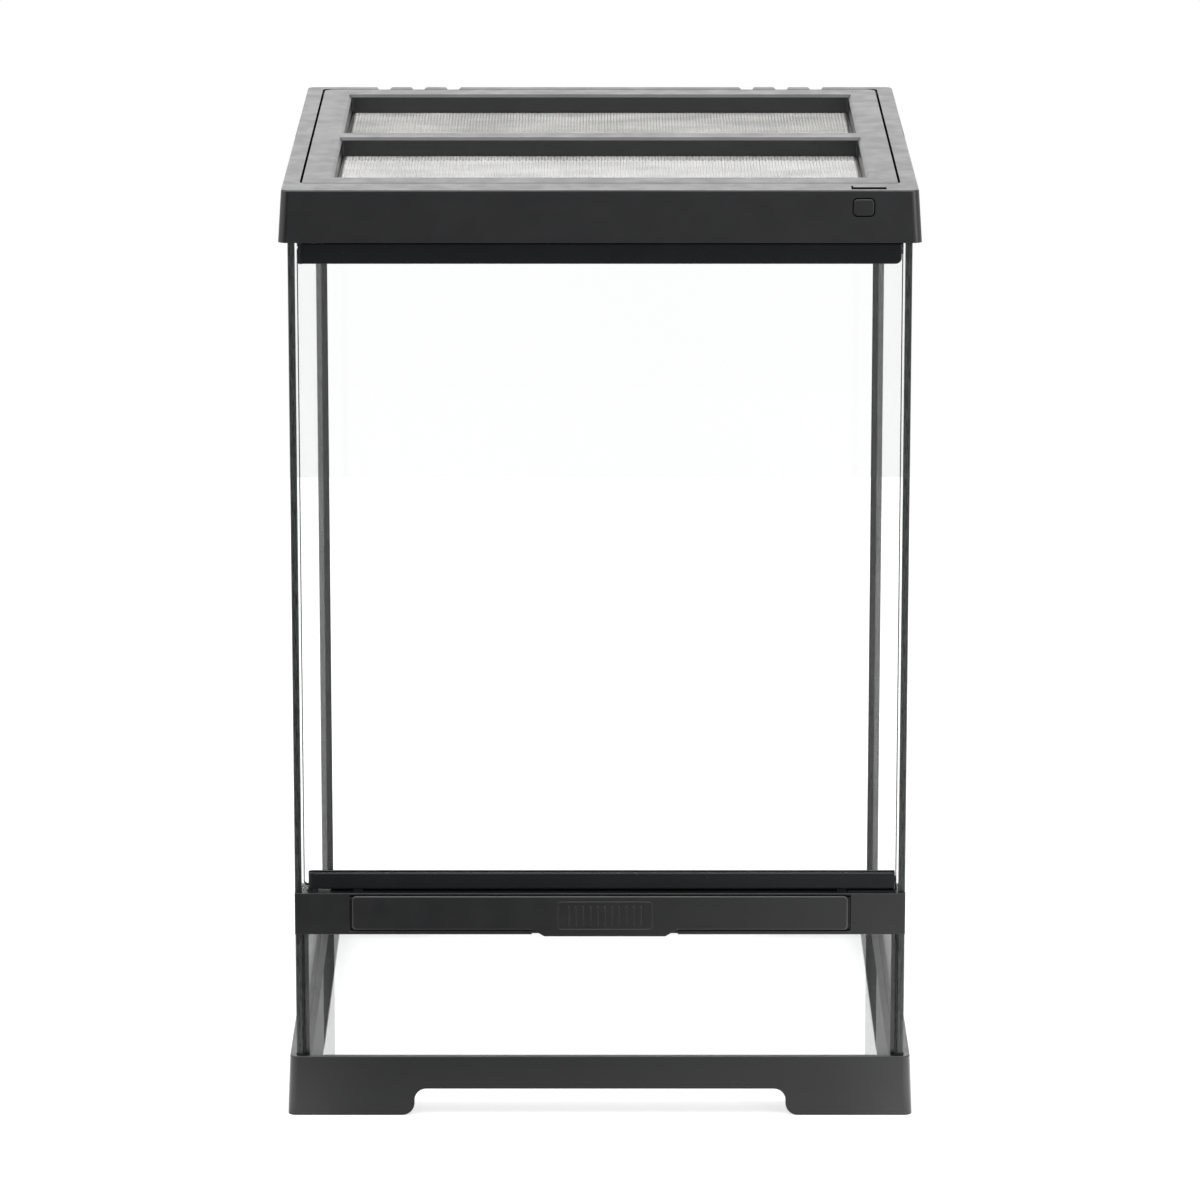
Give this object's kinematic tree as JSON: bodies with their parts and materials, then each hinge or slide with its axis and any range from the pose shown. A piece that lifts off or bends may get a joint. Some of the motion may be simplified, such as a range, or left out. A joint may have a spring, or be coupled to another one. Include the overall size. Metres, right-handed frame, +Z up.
{
  "type": "reptile terrarium",
  "caption": "Glass terrarium on a raised base, with a side-hinged front glass door, a tilting latch plate, a hinged mesh lid with a push button, and sliding cable gates.",
  "frame": {"origin": "on the surface that it stands on, under the middle of the tank", "axes": "+Z up, -Y towards the door, +X to the right of someone who faces the door"},
  "size_m": [0.314, 0.314, 0.4716],
  "materials": {
    "clear_glass": "clear polished float glass",
    "sealant": "black silicone sealant",
    "frame_plastic": "fine-grained black moulded plastic",
    "rail_plastic": "smooth black extruded plastic",
    "mesh_steel": "woven stainless wire",
    "pin_steel": "ground steel",
    "black_steel": "blackened steel"
  },
  "bodies": {
    "tank": {"left_side_glass": "clear_glass", "right_side_glass": "clear_glass", "rear_glass": "clear_glass", "front_lower_glass": "clear_glass", "floor_glass": "clear_glass", "rear_corner_silicone": "sealant", "front_corner_silicone": "sealant", "floor_silicone": "sealant", "base_frame": "frame_plastic", "top_frame": "frame_plastic", "front_rail_cover": "frame_plastic", "waist_bar": "frame_plastic", "waist_bar_back": "frame_plastic", "front_vent_mesh": "mesh_steel", "button_spring": "pin_steel"},
    "door": {"door_glass": "clear_glass", "door_top_rail": "rail_plastic", "door_bottom_rail": "rail_plastic", "door_pin_upper": "pin_steel", "door_pin_lower": "pin_steel"},
    "latch": {"latch_plate": "frame_plastic", "latch_pins": "black_steel"},
    "lid": {"lid_frame": "frame_plastic", "lid_mesh_front": "mesh_steel", "lid_mesh_rear": "mesh_steel", "lid_mesh_retainer": "frame_plastic", "lid_hinge_pins": "black_steel"},
    "button": {"lid_button": "frame_plastic"},
    "left_gate": {"inlet_gate_left": "frame_plastic"},
    "right_gate": {"inlet_gate_right": "frame_plastic"}
  },
  "joints": [
    {"name": "door_hinge", "type": "hinge", "parent": "tank", "child": "door", "pos_m": [-0.1438, -0.1494, 0.1169], "axis": [0, 0, -1], "range_deg": [0, 110]},
    {"name": "latch_hinge", "type": "hinge", "parent": "tank", "child": "latch", "pos_m": [0, -0.155, 0.1131], "axis": [-1, 0, 0], "range_deg": [0, 25]},
    {"name": "lid_hinge", "type": "hinge", "parent": "tank", "child": "lid", "pos_m": [0, 0.1445, 0.469], "axis": [-1, 0, 0], "range_deg": [0, 100]},
    {"name": "button_push", "type": "slide", "parent": "tank", "child": "button", "axis": [0, 1, 0], "range_m": [0, 0.003], "stiffness_N_per_m": 400, "springref_m": -0.002, "deforming": ["button_spring"]},
    {"name": "left_gate_slide", "type": "slide", "parent": "tank", "child": "left_gate", "axis": [1, 0, 0], "range_m": [0, 0.00915]},
    {"name": "right_gate_slide", "type": "slide", "parent": "tank", "child": "right_gate", "axis": [-1, 0, 0], "range_m": [0, 0.00915]}
  ]
}
